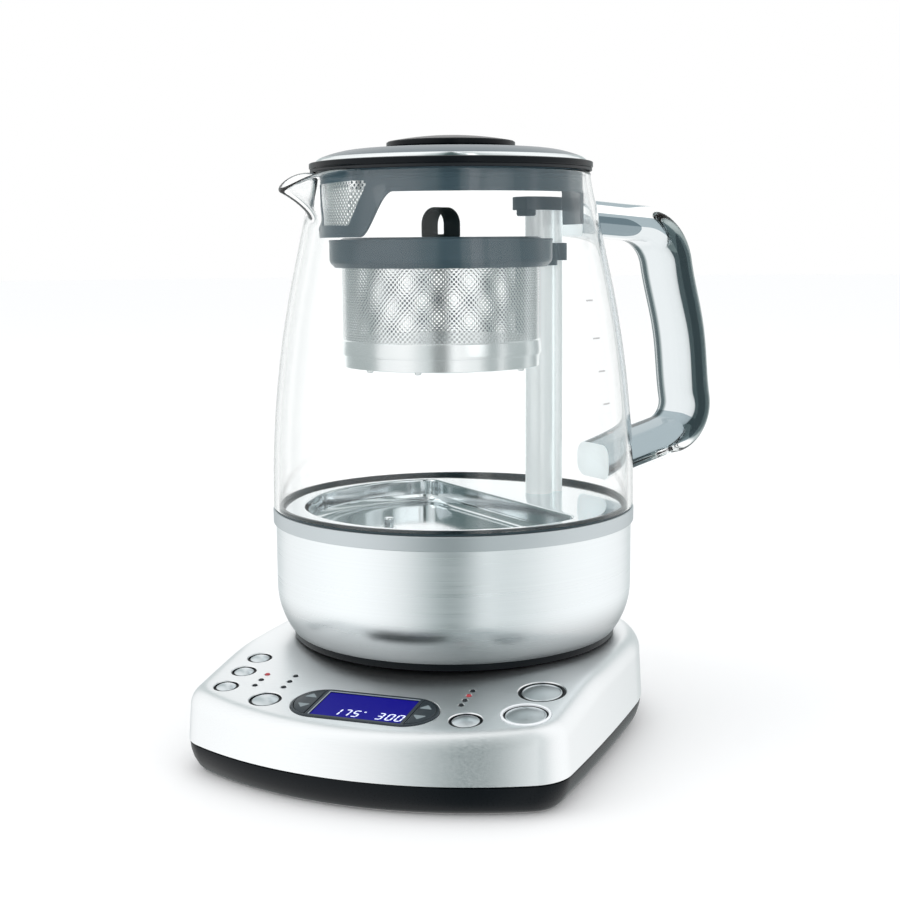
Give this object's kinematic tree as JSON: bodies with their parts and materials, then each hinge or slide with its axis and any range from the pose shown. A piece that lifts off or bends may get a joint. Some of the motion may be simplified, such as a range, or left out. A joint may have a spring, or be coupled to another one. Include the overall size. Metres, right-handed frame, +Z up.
{
  "type": "automatic tea maker",
  "caption": "Glass tea jug on a steel cup, with a lid and a motor-lowered tea basket, standing on a power base with buttons, lamps and a display.",
  "frame": {"origin": "on the jug's axis, in the plane of the base's underside", "axes": "+Z up; the controls face -Y; the jug's handle points 50 degrees from +X towards +Y"},
  "size_m": [0.1866, 0.2471, 0.267],
  "materials": {
    "brushed_steel": "satin, brushed along its length",
    "cup_steel": "satin, brushed round the cup",
    "dome_steel": "satin, spun",
    "band_grey": "matte grey",
    "clear_glass": "clear, polished",
    "black_plastic": "satin black",
    "grey_plastic": "dark slate, slightly translucent",
    "inner_plastic": "moulded, matte",
    "rubber_black": "matte",
    "seal_rubber": "matte",
    "mesh_steel": "perforated, bright",
    "floor_steel": "polished",
    "key_silver": "satin chrome, domed",
    "ring_white": "translucent",
    "bezel_charcoal": "gloss",
    "display_blue": "lit liquid crystal panel",
    "lamp_lens": "dark lens",
    "circuit_board": "glass-fibre laminate",
    "copper_element": "heat-tinted sheath",
    "brass": "turned",
    "zinc_steel": "zinc plated",
    "nylon_white": "moulded nylon",
    "magnet_nickel": "nickel plated"
  },
  "bodies": {
    "root": {"base_cover": "brushed_steel", "base_foot": "black_plastic", "inner_frame": "inner_plastic", "base_screws": "zinc_steel", "rubber_feet": "rubber_black", "cord_gland": "rubber_black", "base_connector": "black_plastic", "deck_ring": "black_plastic", "power_board": "circuit_board", "control_board": "circuit_board", "lcd_module": "display_blue", "display_window": "bezel_charcoal", "start_ring": "ring_white", "indicator_lamps": "lamp_lens", "push_switches": "inner_plastic"},
    "hot_water_button": {"hot_water_button": "key_silver"},
    "tea_button": {"tea_button": "key_silver"},
    "auto_start_button": {"auto_start_button": "key_silver"},
    "keep_warm_button": {"keep_warm_button": "key_silver"},
    "basket_button": {"basket_button": "key_silver"},
    "tea_type_button": {"tea_type_button": "key_silver"},
    "strength_button": {"strength_button": "key_silver"},
    "temperature_rocker": {"temperature_rocker": "bezel_charcoal"},
    "time_rocker": {"time_rocker": "bezel_charcoal"},
    "socket": {"jug_socket": "inner_plastic"},
    "jug": {"glass_jug": "clear_glass", "glass_handle": "clear_glass", "band_ring": "band_grey", "glass_seal": "seal_rubber", "steel_cup": "cup_steel", "jug_bottom": "black_plastic", "floor_plate": "floor_steel", "heating_element": "copper_element", "temperature_sensor": "floor_steel", "lift_post": "floor_steel", "post_cap": "grey_plastic", "lift_motor": "zinc_steel", "motor_bracket": "zinc_steel", "screw_bearings": "brass", "shaft_seal": "seal_rubber"},
    "screw": {"lead_screw": "zinc_steel", "driven_gear": "nylon_white"},
    "pinion": {"motor_pinion": "brass"},
    "carriage": {"magnet_carriage": "magnet_nickel"},
    "lid": {"lid_gasket": "rubber_black", "lid_rim": "black_plastic", "lid_dome": "dome_steel", "lid_knob": "black_plastic", "lid_screws": "zinc_steel", "lid_skirt": "grey_plastic", "filter_frame": "grey_plastic", "filter_mesh": "mesh_steel"},
    "basket": {"basket_collar": "grey_plastic", "basket_yoke": "grey_plastic", "follower_magnet": "magnet_nickel", "basket_mesh": "mesh_steel", "basket_hoop": "mesh_steel", "basket_tray": "mesh_steel"},
    "basket_lid": {"basket_lid": "grey_plastic", "lid_loop": "rubber_black"}
  },
  "joints": [
    {"name": "hot_water_button_press", "type": "slide", "parent": "root", "child": "hot_water_button", "axis": [0, 0.1219, -0.9925], "range_m": [0, 0.001], "stiffness_N_per_m": 300, "springref_m": -0.001},
    {"name": "tea_button_press", "type": "slide", "parent": "root", "child": "tea_button", "axis": [0, 0.1219, -0.9925], "range_m": [0, 0.001], "stiffness_N_per_m": 300, "springref_m": -0.001},
    {"name": "auto_start_button_press", "type": "slide", "parent": "root", "child": "auto_start_button", "axis": [0, 0.1219, -0.9925], "range_m": [0, 0.001], "stiffness_N_per_m": 300, "springref_m": -0.001},
    {"name": "keep_warm_button_press", "type": "slide", "parent": "root", "child": "keep_warm_button", "axis": [0, 0.1219, -0.9925], "range_m": [0, 0.001], "stiffness_N_per_m": 300, "springref_m": -0.001},
    {"name": "basket_button_press", "type": "slide", "parent": "root", "child": "basket_button", "axis": [0, 0.1219, -0.9925], "range_m": [0, 0.001], "stiffness_N_per_m": 300, "springref_m": -0.001},
    {"name": "tea_type_button_press", "type": "slide", "parent": "root", "child": "tea_type_button", "axis": [0, 0.1219, -0.9925], "range_m": [0, 0.001], "stiffness_N_per_m": 300, "springref_m": -0.001},
    {"name": "strength_button_press", "type": "slide", "parent": "root", "child": "strength_button", "axis": [0, 0.1219, -0.9925], "range_m": [0, 0.001], "stiffness_N_per_m": 300, "springref_m": -0.001},
    {"name": "temperature_rocker_tilt", "type": "hinge", "parent": "root", "child": "temperature_rocker", "pos_m": [-0.0253, -0.10648, 0.03101], "axis": [1, 0, 0], "range_deg": [-3, 3], "stiffness_Nm_per_rad": 0.05},
    {"name": "time_rocker_tilt", "type": "hinge", "parent": "root", "child": "time_rocker", "pos_m": [0.0253, -0.10648, 0.03101], "axis": [1, 0, 0], "range_deg": [-3, 3], "stiffness_Nm_per_rad": 0.05},
    {"name": "jug_lift", "type": "slide", "parent": "root", "child": "socket", "axis": [0, 0, 1], "range_m": [0, 0.12]},
    {"name": "jug_turn", "type": "hinge", "parent": "socket", "child": "jug", "pos_m": [0, 0, 0], "axis": [0, 0, 1], "continuous": true},
    {"name": "screw_turn", "type": "hinge", "parent": "jug", "child": "screw", "pos_m": [0.03053, 0.03639, 0], "axis": [0, 0, 1], "range_deg": [-2640, 30]},
    {"name": "pinion_turn", "type": "hinge", "parent": "jug", "child": "pinion", "pos_m": [0.0188, 0.02241, 0], "axis": [0, 0, 1], "range_deg": [-60, 5280]},
    {"name": "carriage_slide", "type": "slide", "parent": "jug", "child": "carriage", "axis": [0, 0, 1], "range_m": [-0.0585, 0.0005]},
    {"name": "lid_lift", "type": "slide", "parent": "jug", "child": "lid", "axis": [0, 0, 1], "range_m": [0, 0.06]},
    {"name": "basket_slide", "type": "slide", "parent": "jug", "child": "basket", "axis": [0, 0, 1], "range_m": [-0.058, 0]},
    {"name": "basket_lid_lift", "type": "slide", "parent": "basket", "child": "basket_lid", "axis": [0, 0, 1], "range_m": [0, 0.009]}
  ],
  "couplings": [
    {"joint": "carriage_slide", "follows": "basket_slide", "ratio": 1},
    {"joint": "screw_turn", "follows": "basket_slide", "rad_per_m": 785.4},
    {"joint": "pinion_turn", "follows": "basket_slide", "rad_per_m": -1570.8}
  ]
}
